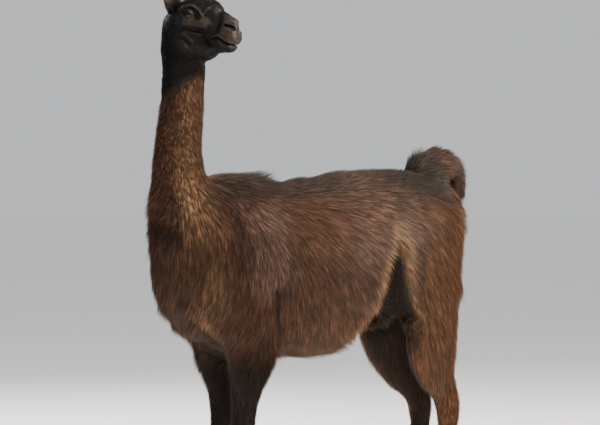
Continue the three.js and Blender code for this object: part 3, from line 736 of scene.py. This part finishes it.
def mark_colours(mesh, points, normals, shares):
    """Keeps how much of each colour of the coat lies on each place of the skin."""
    x, y, z = points.T
    forward, left, up = in_head(x, y, z)
    store(mesh, "grain", np.stack([forward, left, up], 1) * MM, "FLOAT_VECTOR")
    aside = np.abs(x)
    inwards = normals[:, 0] * np.sign(x)
    thigh_wool = shares["trunk"] + shares["leg"]

    # The head is black. The tops of its folds that face up, the snout and the cheek under the eye get a
    # painted grey highlight, and its creases painted shade.
    relief = sum(height * np.exp(-((away((forward, up), path) / width) ** 2))
                 for path, width, height in FOLDS)
    ridge_highlight = ramp(0.5, 5.5, relief) * ramp(-0.5, 0.6, normals @ np.array(HEAD_UP))
    muzzle_highlight = 0.45 * ramp(96, 128, forward) * ramp(-84, -66, up)
    under_eye_highlight = 0.40 * ramp(16, 6, away((forward, up), [(0, -22), (60, -20)]))
    # Below the jaw the black is partly the head's painted shadow on the throat.
    black = shares["face"] + shares["nape"] + shares["ear"]

    # The forelegs and feet have dark hair, and the back of the neck is darker. The rest is painted shade:
    # on the front of the neck and chest, turned from the light, in the creases at the foot of the neck,
    # before the shoulder and behind the elbow, in the gap before each thigh and the curl there, and on the
    # inner faces of the hind legs, whose hair is darker too.
    front = ramp(-0.2, -0.75, normals[:, 1])
    off_curl = 1 - close_to(points, CURL, CURL_INNER, CURL_OUTER)
    groin = ramp(0.034, 0.014, flank_gap(x, y, z)) * ramp(0.97, 0.90, z) * ramp(0.5, 0.6, z)
    beside = np.where(aside > 0.06, 1, 9)  # only on the sides, so not between the forelegs
    dark = most(
        # painted shade on the front of the neck, turned from the light
        0.2 * shares["neck"] * front,
        # painted shade in the crease at the foot of the neck
        0.7 * ramp(0.055, 0.015, away((y, z), [(-0.605, 1.005), (-0.560, 0.980)])),
        # painted shade in the grooves before the shoulder and behind the elbow
        0.35 * ramp(0.035, 0.008, away((y, z), SHOULDER_FRONT) * beside),
        0.8 * ramp(0.024, 0.006, away((y, z), ELBOW_BACK) * beside),
        0.95 * ramp(0.72, 0.54, z) * (y < 0) * ramp(0.20, 0.12, aside),
        # painted shade in the gap before each thigh and in the curl there
        0.86 * most(groin * (0.35 + 0.65 * off_curl), 0.5 * (1 - off_curl)),
        # painted shade on the inner faces of the hind legs, whose hair is darker too
        0.85 * ramp(0.2, -0.6, inwards) * (y > 0) * ramp(0.98, 0.85, z) * off_curl,
        # painted shade on the front of the chest, turned from the light
        0.35 * ramp(-0.35, -0.80, normals[:, 1]) * ramp(-0.40, -0.50, y) * ramp(0.98, 0.92, z),
        0.65 * shares["neck"] * ramp(0.1, 0.8, normals[:, 1]),
        0.6 * shares["foot"],
    )

    # Golden hair lies at the foot of the neck, on the chest and over the neck. Along the edges of the gap
    # before each thigh and along the chest's lower edge it is a painted highlight, and it is kept off the
    # faces turned forward, away from the light.
    neck_base = away((aside, y, z), [(0.08, -0.53, 1.09), (0.10, -0.52, 1.01)])
    chest = away((aside, y, z), [(0.14, -0.47, 0.84), (0.13, -0.45, 0.76)])
    gold_and_highlight = most(
        0.62 * ramp(0.13, 0.02, neck_base),
        0.7 * ramp(0.08, 0.01, chest),
        0.18 * shares["neck"],
        # painted highlight along the edges of the gap before each thigh and along the chest's lower edge
        ramp(0.070, 0.020, np.abs(flank_gap(x, y, z))) * np.interp(y, [0.16, 0.24], [1.0, 0.6]),
        0.8 * ramp(0.020, 0.006, away((y, z), CHEST_HEM)) * ramp(0.04, 0.08, aside),
    )

    # The belly is reddish hair, and the same red on the rump and hocks is painted sunlight. The back is
    # grey and the haunch warm. Over the shoulder and the flank behind it lies a bluish-grey painted sheen.
    rust_and_light = most(
        0.8 * ramp(0.78, 0.60, z) * shares["trunk"] * ramp(-0.3, -0.1, y) * ramp(0.24, 0.16, y),
        # painted sunlight on the rump and the hocks
        0.5 * ramp(0.36, 0.52, y) * ramp(1.1, 0.95, z) * thigh_wool,
        0.35 * ramp(0.55, 0.42, z) * (y > 0.2),
    )
    # painted sheen over the shoulder and the flank behind it
    blade_sheen = 0.85 * ramp(0.10, 0.03, away((y, z), SHOULDER_BLADE)) * ramp(1.10, 1.03, z)
    flank_sheen = 0.35 * ramp(0.22, 0.08, away((y, z), [(0.12, 1.0), (0.16, 0.90)]))
    for name, share in (
        ("black", black),
        # painted highlight and painted shade on the head
        ("painted_highlight", most(ridge_highlight, muzzle_highlight, under_eye_highlight) * shares["face"]),
        ("crease_shade", 0.8 * ramp(-0.8, -3.6, relief) * shares["face"]),
        ("dark", dark),
        # kept off the faces turned forward, away from the light, and off the black
        ("gold_and_highlight", gold_and_highlight * (1 - front) * (1 - black)),
        ("rust_and_light", rust_and_light),
        ("grey", ramp(1.00, 1.13, z) * (shares["trunk"] + 0.6 * shares["tail"])),
        ("cool_sheen", most(blade_sheen, flank_sheen) * shares["trunk"]),
        ("warm", 0.55 * ramp(0.24, 0.34, y) * ramp(1.10, 1.02, z) * thigh_wool),
    ):
        store(mesh, name, np.clip(share, 0, 1))


def mark_skin(skin):
    """Gives the skin all that the coat and the materials read from it."""
    mesh = skin.data
    points = numbers(mesh.vertices, "co", 3)
    normals = numbers(mesh.vertices, "normal", 3)
    shares = regions(*points.T)
    mark_coat(mesh, points, normals, shares)
    mark_colours(mesh, points, normals, shares)
    centres = numbers(mesh.polygons, "center", 3)
    store(mesh, "piece", piece_of(centres, regions(*centres.T)).astype(np.int32), "INT", "FACE")


def unwrap(skin):
    """Lays the skin's own shape out flat as its bake map."""
    skin.data.uv_layers.new(name="OFBake")
    bpy.context.view_layer.objects.active = skin
    skin.select_set(True)
    bpy.ops.object.mode_set(mode="EDIT")
    bpy.ops.mesh.select_all(action="SELECT")
    bpy.ops.uv.smart_project(angle_limit=math.radians(66), island_margin=0.001)
    bpy.ops.object.mode_set(mode="OBJECT")
    skin.select_set(False)


# ---- the coat

PATCH = 0.003  # how much of the bake map a tuft takes
OWN_TONE = 0.42  # how much of a tuft's tone is its own, where the rest is its lock's
SIZES = (0.72, 1.18)  # the shortest and longest tufts, as shares of the coat's length
STRAY_SCALE = 26.0  # tufts stray in waves of some 4 cm
KEPT = {"tip", "tone", "leather", "OFBake", *COLOURS}  # what the materials read

# What the points of a tuft need, worked out in steps: a name, an operation and what goes into it. X, Y
# and tip are the place in a straight spike, Crimps, Gather and Stray are inputs of the coat, and the rest
# is kept on the skin or at the root.
TUFT_STEPS = (
    ("length", "MULTIPLY", "long", "size"),
    ("run", "MULTIPLY", "length", "tip"),
    ("lost", "SUBTRACT", 1.0, "keep"),
    ("sag", "MULTIPLY", "tip", "lost"),
    ("droop", "SUBTRACT", 1.0, "sag"),
    ("climb", "MULTIPLY", "run", "rise"),
    ("height", "MULTIPLY", "climb", "droop"),
    ("phase", "MULTIPLY_ADD", "tip", "Crimps", "tone"),
    ("angle", "MULTIPLY", "phase", 2 * math.pi),
    ("swing", "SINE", "angle"),
    ("wave", "MULTIPLY", "swing", "run"),
    ("sway", "MULTIPLY", "wave", "crimp"),
    ("outer", "MULTIPLY", "tip", "tip"),
    ("gather", "MULTIPLY", "outer", "Gather"),
    ("stray", "MULTIPLY", "run", "Stray"),
    ("fullness", "MULTIPLY_ADD", "tip", 1.6, 0.55),
    ("radius", "MULTIPLY", "wide", "fullness"),
    ("aside", "MULTIPLY_ADD", "Y", "radius", "sway"),
    ("thin", "MULTIPLY", "X", 0.4),
    ("above", "MULTIPLY_ADD", "thin", "radius", "height"),
    ("patch_x", "MULTIPLY", "Y", 0.5),
    ("patch_y", "SUBTRACT", "tip", 0.5),
)
# Where the points are pushed from the root: a direction, and how far along it.
TUFT_PUSHES = (
    ("lie", "run"), ("out", "above"), ("side", "aside"), ("to_lock", "gather"), ("noise", "stray"),
)


def coat_tree():
    """Roots tufts all over one piece of the skin. Each tuft is a closed, tapered spike of three sides."""
    tree = bpy.data.node_groups.new("Coat of tufts", "GeometryNodeTree")
    new = partial(add, tree)
    face = tree.interface
    face.new_socket("Geometry", in_out="OUTPUT", socket_type="NodeSocketGeometry")
    face.new_socket("Geometry", in_out="INPUT", socket_type="NodeSocketGeometry")
    for kind, names in (
        ("Int", ("Piece", "Joints", "Seed")),
        ("Float", ("Lock size", "Gather", "Stray", "Crimps", "Patch")),
        ("Material", ("Material",)),
    ):
        for name in names:
            face.new_socket(name, in_out="INPUT", socket_type="NodeSocket" + kind)
    given = new("NodeGroupInput").outputs
    known = {socket.name: socket for socket in given}
    for kind, names in (
        ("INT", ("piece",)),
        ("FLOAT", ("close", "long", "size", "keep", "rise", "tone", "crimp", "wide")),
        ("FLOAT_VECTOR", ("root", "out", "lie", "shape", "OFBake", "flat")),
    ):
        for name in names:
            known[name] = new(NAMED, {"Name": name}, data_type=kind).outputs["Attribute"]

    # Roots, each with what it needs to know of the skin there.
    here = {2: known["piece"], 3: given["Piece"]}
    here = new("FunctionNodeCompare", here, data_type="INT", operation="EQUAL")
    roots = new("GeometryNodeDistributePointsOnFaces", {
        "Mesh": given["Geometry"], "Selection": here, "Density": known["close"], "Seed": given["Seed"]})
    own = new("GeometryNodeInputPosition")
    lock_scale = new(MATH, [1.0, given["Lock size"]], operation="DIVIDE")
    lock_tone = new(CELLS, {"Vector": own, "Scale": lock_scale}).outputs["Color"]
    lock_tone = new(MATH, [new(SEPARATE, [lock_tone]), 1 - OWN_TONE], operation="MULTIPLY")
    tone = new(RANDOM, {"Seed": given["Seed"]}).outputs[1]
    tone = new(MATH, [tone, OWN_TONE], operation="MULTIPLY")
    tone = new(MATH, [tone, lock_tone], operation="ADD")
    size = new(RANDOM, {2: SIZES[0], 3: SIZES[1], "Seed": 7}).outputs[1]
    tufts = roots.outputs["Points"]
    for name, kind, value in (
        ("root", "FLOAT_VECTOR", own), ("out", "FLOAT_VECTOR", roots.outputs["Normal"]),
        ("tone", "FLOAT", tone), ("size", "FLOAT", size), ("flat", "FLOAT_VECTOR", known["OFBake"]),
    ):
        tufts = new(STORE, {"Geometry": tufts, "Name": name, "Value": value}, data_type=kind)

    # One straight spike, 1 high and 1 in radius, stands at each root and is realized.
    spike = new("GeometryNodeMeshCone", {
        "Vertices": 3, "Side Segments": given["Joints"], "Radius Top": 0.0, "Radius Bottom": 1.0,
        "Depth": 1.0}, fill_type="NGON")
    spike = new(STORE, {"Geometry": spike, "Name": "shape", "Value": own}, data_type="FLOAT_VECTOR")
    tufts = new("GeometryNodeInstanceOnPoints", {"Points": tufts, "Instance": spike})
    tufts = new("GeometryNodeRealizeInstances", [tufts])

    # Along it the tuft rises off the skin, lies over, and gathers with its neighbours into a lock.
    shape = new(SEPARATE, [known["shape"]]).outputs
    known.update(X=shape["X"], Y=shape["Y"], tip=shape["Z"])
    for name, operation, *parts in TUFT_STEPS:
        known[name] = new(MATH, [known.get(part, part) for part in parts], operation=operation)
    side = new(VECTOR, [known["lie"], known["out"]], operation="CROSS_PRODUCT")
    known["side"] = new(VECTOR, [side], operation="NORMALIZE")
    lock = new(CELLS, {"Vector": known["root"], "Scale": lock_scale}).outputs["Position"]
    known["to_lock"] = new(VECTOR, [lock, known["root"]], operation="SUBTRACT")
    noise = new(NOISE, {"Vector": known["root"], "Scale": STRAY_SCALE, "Detail": 3.0})
    known["noise"] = new(VECTOR, [noise.outputs["Color"], (0.5, 0.5, 0.5)], operation="SUBTRACT")
    place = known["root"]
    for way, how_far in TUFT_PUSHES:
        push = new(VECTOR, {0: known[way], "Scale": known[how_far]}, operation="SCALE")
        place = new(VECTOR, [place, push], operation="ADD")
    tufts = new("GeometryNodeSetPosition", {"Geometry": tufts, "Position": place})

    # Each tuft gets its own small patch of the bake map, at its root's place on the skin's map.
    patch = new("ShaderNodeCombineXYZ", [known["patch_x"], known["patch_y"]])
    patch = new(VECTOR, {0: patch, "Scale": given["Patch"]}, operation="SCALE")
    patch = new(VECTOR, [known["flat"], patch], operation="ADD")
    for name, kind, domain, value in (
        ("tip", "FLOAT", "POINT", known["tip"]), ("OFBake", "FLOAT2", "CORNER", patch),
    ):
        stored = {"Geometry": tufts, "Name": name, "Value": value}
        tufts = new(STORE, stored, data_type=kind, domain=domain)
    tufts = new("GeometryNodeRealizeInstances", [tufts])
    tufts = new("GeometryNodeSetMaterial", {"Geometry": tufts, "Material": given["Material"]})
    new("NodeGroupOutput", [tufts])
    return tree


def grow(tree, bed, name, inputs):
    """Grows one piece of coat on a bed of skin, as a plain mesh."""
    piece = new_object(name + "_growing", bed)
    growth = piece.modifiers.new("coat", "NODES")
    growth.node_group = tree
    for socket in tree.interface.items_tree:
        if socket.name in inputs:
            growth[socket.identifier] = inputs[socket.name]
    made = baked(piece, name)
    mesh = made.data
    for attribute in [a.name for a in mesh.attributes]:
        found = mesh.attributes[attribute]
        if attribute not in KEPT and not found.is_required and not found.is_internal:
            mesh.attributes.remove(found)
    finished(made, inputs["Material"])
    return made


# ---- eyes and nails

CORNEA = 0.5  # half the angle that the cornea takes
CORNEA_SWELL = 0.07  # how far it stands out, as a share of the eyeball's radius
BALL_RADIUS = 0.965 * EYE_RADIUS


def make_eye(name, side):
    """An eyeball with a cornea that swells a little from it, closed at both poles."""
    ball = bmesh.new()
    bmesh.ops.create_uvsphere(ball, u_segments=44, v_segments=30, radius=1)
    gaze = np.array([(v.co.z, v.co.x, v.co.y) for v in ball.verts])
    angle = np.arccos(np.clip(gaze[:, :1], -1, 1))
    reach = BALL_RADIUS * (1 + CORNEA_SWELL * np.exp(-((angle / CORNEA) ** 2)))
    places = gaze * reach @ np.array([EYE_FACING, EYE_ACROSS, EYE_UPWARD])
    places = places @ np.array([HEAD_FORWARD, HEAD_LEFT * side, HEAD_UP]) + np.array(middle(name))
    for vert, place in zip(ball.verts, places):
        vert.co = place
    bmesh.ops.recalc_face_normals(ball, faces=ball.faces)
    mesh = bpy.data.meshes.new("eyeball")
    ball.to_mesh(mesh)
    ball.free()
    store(mesh, "gaze", gaze, "FLOAT_VECTOR")
    return new_object(name.replace("eye", "eyeball"), mesh)


HORN_RINGS = 3.2 * MM  # from one ring of a nail to the next
HORN_RING_HEIGHT = 0.12 * MM


def make_nail(node):
    """The horn of a toe: the CAD nail made smooth, with the rings it grew in."""
    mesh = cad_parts[node].data.copy()
    shell = bmesh.new()
    shell.from_mesh(mesh)
    bmesh.ops.remove_doubles(shell, verts=shell.verts, dist=0.05 * MM)
    shell.to_mesh(mesh)
    shell.free()
    horn = new_object("rough_" + node, mesh)
    for kind, levels in (("SIMPLE", 1), ("CATMULL_CLARK", 2)):
        finer = horn.modifiers.new(kind, "SUBSURF")
        finer.subdivision_type = kind
        finer.levels = finer.render_levels = levels
    horn = baked(horn, "horn_" + node.removeprefix("nail_"))
    points, normals = (numbers(horn.data.vertices, key, 3) for key in ("co", "normal"))
    growth = np.sin((points[:, 1] * 0.9 + points[:, 2] * 0.6) / HORN_RINGS * 2 * np.pi)
    points = points + normals * (growth * HORN_RING_HEIGHT)[:, None]
    horn.data.vertices.foreach_set("co", points.astype(np.float32).ravel())
    return horn


# ---- materials

PALE_TUFTS = 2.8  # the higher, the fewer of the tufts are pale
PUPIL_WIDE, PUPIL_HIGH = 0.40, 0.20  # half its width and height, as shares of the eyeball's radius

# Each kind of wool: how pale its dullest and brightest tufts are, how far apart its fainter patches lie
# in metres, and how faint they are.
WOOLS = {
    "long llama wool": (0.03, 1.60, 0.05, 0.72),
    "crimped llama wool": (0.05, 2.50, 0.02, 0.60),
    "short black llama hair": (0.60, 1.50, 0.05, 0.5),
}


def new_material(name, surface, *measures):
    """A material whose surface is made by one of the functions below."""
    material = bpy.data.materials.new(name)
    material.use_nodes = True
    material.node_tree.nodes.clear()
    new = partial(add, material.node_tree)
    new("ShaderNodeOutputMaterial", {"Surface": surface(new, *measures)})
    return material


def marking(new, tip):
    """The coat's colour: each part's root and tip colours, mixed by the shares kept on the skin."""
    colour = None
    for name, (root_colour, tip_colour) in COLOURS.items():
        both = {0: tip, 6: linear(root_colour), 7: linear(tip_colour)}
        both = new(MIX, both, data_type="RGBA").outputs[2]
        if colour is None:
            colour = both
            continue
        share = new(ATTRIBUTE, attribute_name=name).outputs["Fac"]
        colour = new(MIX, {0: share, 6: colour, 7: both}, data_type="RGBA").outputs[2]
    return colour


def wool_surface(new, dull, bright, patches_apart, faint):
    """Llama fibre: matt, with a soft sheen along it that greys the dark coat where light grazes it.

    The palest colour of a tuft lies between `dull` and `bright`, and is down to `faint` in its patches.
    """
    place = new("ShaderNodeTexCoord").outputs["Object"]
    tone = new(ATTRIBUTE, attribute_name="tone").outputs["Fac"]
    tip = new(ATTRIBUTE, attribute_name="tip").outputs["Fac"]
    tone = new(MATH, [tone, PALE_TUFTS], operation="POWER")
    tone = new(RANGE, {0: tone, 3: dull, 4: bright})
    patches = new(NOISE, {"Vector": place, "Scale": 1 / patches_apart, "Detail": 3.0})
    patches = new(RANGE, {0: patches, 1: 0.3, 2: 0.7, 3: faint, 4: 1.2})
    lit = new(MATH, [tip, tone], operation="MULTIPLY")
    lit = new(MATH, [lit, patches], operation="MULTIPLY", use_clamp=True)
    return new(SHADER, {"Base Color": marking(new, lit), "Roughness": 0.62, "Sheen Weight": 0.02,
                        "Sheen Roughness": 0.4, "Specular IOR Level": 0.10})


def hide_surface(new):
    """Dark hide under the coat, with hair too short to stand up as fine bump, and bare leather."""
    place = new("ShaderNodeTexCoord").outputs["Object"]
    grain = new(ATTRIBUTE, attribute_name="grain").outputs["Vector"]
    grain = new("ShaderNodeMapping", {"Vector": grain, "Scale": (0.3, 1.0, 1.0)})
    hair = new(NOISE, {"Vector": grain, "Scale": 620.0, "Detail": 3.0})  # 1.6 mm apart, to show
    broad = new(NOISE, {"Vector": place, "Scale": 90.0, "Detail": 4.0})  # uneven every 11 mm
    tip = new(RANGE, {0: hair, 1: 0.3, 2: 0.75, 3: 0.0, 4: 0.6})
    leather = new(ATTRIBUTE, attribute_name="leather").outputs["Fac"]
    colour = {0: leather, 6: marking(new, tip), 7: linear("#0f0d0d")}
    colour = new(MIX, colour, data_type="RGBA").outputs[2]
    rough = new(RANGE, {0: leather, 3: 0.50, 4: 0.44})
    height = new(MATH, [hair, broad], operation="ADD")
    bump = new("ShaderNodeBump", {"Strength": 0.6, "Distance": 0.9 * MM, "Height": height})
    return new(SHADER, {
        "Base Color": colour, "Roughness": rough, "Normal": bump, "Specular IOR Level": 0.12})


def eye_surface(new):
    """A wet eye: a dark brown iris with a wide level pupil, under a clear cornea that mirrors the light."""
    gaze = new(ATTRIBUTE, attribute_name="gaze").outputs["Vector"]
    ahead, wide, high = new(SEPARATE, [gaze]).outputs
    wide = new(MATH, [wide, PUPIL_WIDE], operation="DIVIDE")
    high = new(MATH, [high, PUPIL_HIGH], operation="DIVIDE")
    pupil = new(VECTOR, [new("ShaderNodeCombineXYZ", [wide, high])], operation="LENGTH")
    pupil = new(RANGE, {0: pupil.outputs["Value"], 1: 0.9, 2: 1.1, 3: 1.0, 4: 0.0})
    flecks = new(NOISE, {"Vector": gaze, "Scale": 9.0, "Detail": 5.0})  # 2 mm apart
    rim = new(RANGE, {0: ahead, 1: 0.70, 2: 0.78, 3: 1.0, 4: 0.0})
    colour = new(MIX, {0: flecks, 6: linear("#0c0604"), 7: linear("#2e1a0f")}, data_type="RGBA")
    for share, shade in ((rim, "#0d0908"), (pupil, "#030306")):
        colour = new(MIX, {0: share, 6: colour.outputs[2], 7: linear(shade)}, data_type="RGBA")
    return new(SHADER, {"Base Color": colour.outputs[2], "Roughness": 0.3, "Specular IOR Level": 0.1,
                        "Coat Weight": 0.3, "Coat Roughness": 0.03, "Coat IOR": 1.38})


def horn_surface(new):
    """Dark horn worn paler in streaks that run along the nail, with a dull polish from walking."""
    place = new("ShaderNodeTexCoord").outputs["Object"]
    place = new("ShaderNodeMapping", {"Vector": place, "Scale": (1.0, 0.12, 0.3)})
    streaks = new(NOISE, {"Vector": place, "Scale": 700.0, "Detail": 4.0})  # 1.4 mm wide
    shade = new(RANGE, {0: streaks, 1: 0.35, 2: 0.7})
    colour = {0: shade, 6: linear("#0f0c0a"), 7: linear("#2e2620")}
    colour = new(MIX, colour, data_type="RGBA").outputs[2]
    rough = new(RANGE, {0: shade, 3: 0.5, 4: 0.7})
    bump = new("ShaderNodeBump", {"Strength": 0.4, "Distance": 0.3 * MM, "Height": streaks})
    return new(SHADER, {
        "Base Color": colour, "Roughness": rough, "Normal": bump, "Specular IOR Level": 0.3})


def floor_surface(new):
    """Matt paint, almost white."""
    return new(SHADER, {"Base Color": linear("#fdfdfc"), "Roughness": 0.9})


# ---- floor, light and camera

AIM = Vector((-0.0256, -0.0369, 1.03))
CAMERA_AZIMUTH = math.radians(56)
CAMERA_AWAY = 8.0
LENS, SENSOR = 152.6, 36  # in millimetres
SIGHT = 1000  # how far the camera sees, in metres
FLOOR_RADIUS = 400
BACK = Vector((math.sin(CAMERA_AZIMUTH), -math.cos(CAMERA_AZIMUTH), 0))
RIGHT = Vector((math.cos(CAMERA_AZIMUTH), math.sin(CAMERA_AZIMUTH), 0))

# Each light: how far right, back towards the camera and up it hangs, how far off, its side in metres, its
# power in watts and its colour.
LIGHTS = {
    "key": ((0.85, 0.7, 0.8), 5.0, 1.3, 1500, "#fff0dc"),
    "rear": ((-0.5, -0.9, 0.7), 6.0, 3.0, 440, "#f4f6ff"),
    "fill": ((-0.7, 0.9, 0.3), 6.0, 3.0, 60, "#eef3ff"),
}


def hang(data, way, away_by):
    """Hangs a camera or a light in the direction `way` from the llama, turned to face it."""
    hung = new_object(data.name, data)
    hung.location = AIM + way * away_by
    hung.rotation_euler = (-way).to_track_quat("-Z", "Y").to_euler()
    return hung


def make_stage():
    """The camera, a plain pale floor, an even sky and soft lights."""
    view = bpy.data.cameras.new("camera")
    view.lens, view.sensor_width, view.clip_end = LENS, SENSOR, SIGHT
    bpy.context.scene.camera = hang(view, BACK, CAMERA_AWAY)
    bpy.ops.mesh.primitive_circle_add(vertices=128, radius=FLOOR_RADIUS, fill_type="NGON")
    floor = bpy.context.object
    floor.name = "floor"
    floor.data.materials.append(new_material("pale studio floor", floor_surface))
    world = bpy.data.worlds.new("studio")
    bpy.context.scene.world = world
    world.use_nodes = True
    sky = world.node_tree.nodes["Background"].inputs
    sky["Color"].default_value, sky["Strength"].default_value = linear("#e9ebee"), 0.80
    for name, ((right, back, up), away_by, size, power, colour) in LIGHTS.items():
        light = bpy.data.lights.new(name, "AREA")
        light.size, light.energy, light.color = size, power, linear(colour)[:3]
        hang(light, (RIGHT * right + BACK * back + UP * up).normalized(), away_by)


# ---- put together

skin = make_skin()
mark_skin(skin)
unwrap(skin)
finished(skin, new_material("short-haired dark hide", hide_surface))

tree = coat_tree()
wools = {name: new_material(name, wool_surface, *measures) for name, measures in WOOLS.items()}
for number, (name, style) in enumerate(PIECES.items()):
    wool, *measures = STYLES[style]
    coat = grow(tree, skin.data, "coat_" + name, {
        "Piece": number, "Seed": number + FIRST_SEED, "Patch": PATCH, "Material": wools[wool],
        **dict(zip(STYLE_INPUTS, measures)),
    })
    placed(coat, "face_hair" if style in ("short", "lash") else "fleece")
placed(skin, "fleece", *FLESH)

wet_eye = new_material("wet brown eye", eye_surface)
for name, side in (("eye_left", 1), ("eye_right", -1)):
    eyeball = make_eye(name, side)
    finished(eyeball, wet_eye)
    placed(eyeball, "eye", name)
horn = new_material("dark streaked horn", horn_surface)
for node in [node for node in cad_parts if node.startswith("nail")]:
    nail = make_nail(node)
    finished(nail, horn)
    placed(nail, "nail", node)
make_stage()
